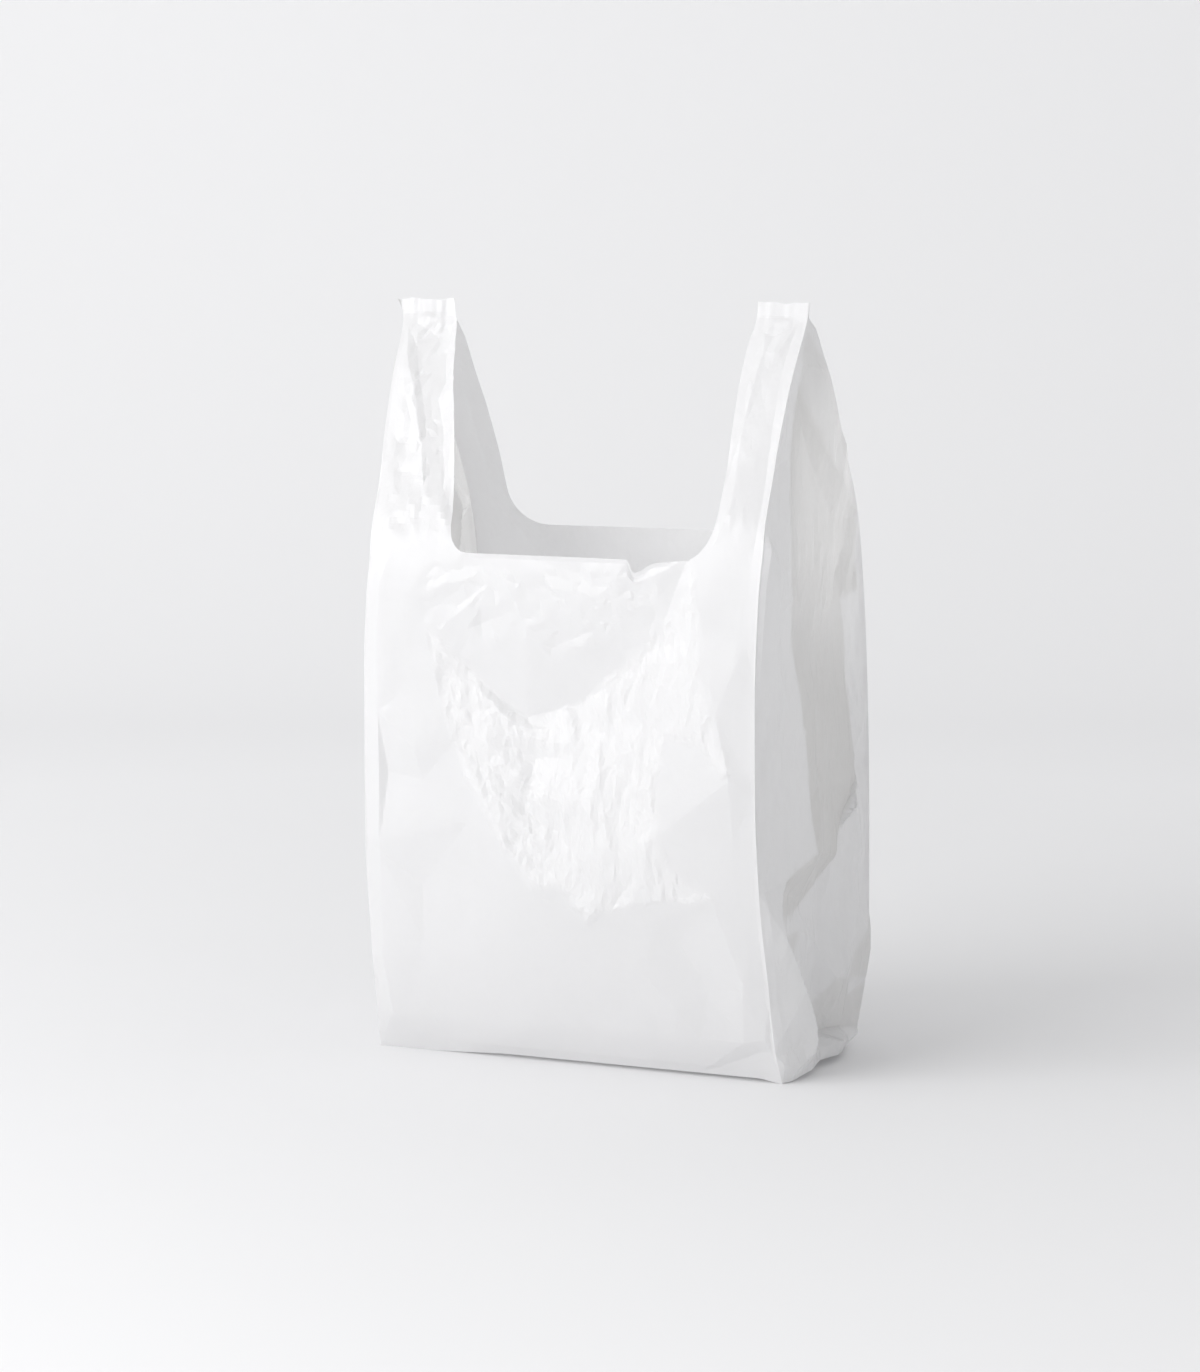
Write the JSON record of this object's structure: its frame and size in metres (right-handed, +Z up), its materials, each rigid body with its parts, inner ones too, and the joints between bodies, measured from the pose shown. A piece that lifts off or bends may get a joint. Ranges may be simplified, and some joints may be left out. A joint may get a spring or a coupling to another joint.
{
  "type": "plastic carrier bag",
  "caption": "White plastic-film carrier bag with side gussets and a sealed handle at each side of its mouth, standing open on a squared base.",
  "frame": {"origin": "middle of the squared base, on the surface that the bag stands on", "axes": "+Z up from the base to the handles, +Y from the front panel to the back panel, +X from the left handle to the right handle as seen from the front"},
  "size_m": [0.31, 0.1858, 0.521],
  "materials": {
    "film": "thin white film, glossy and creased"
  },
  "bodies": {
    "root": {"bag": "film"}
  },
  "joints": []
}
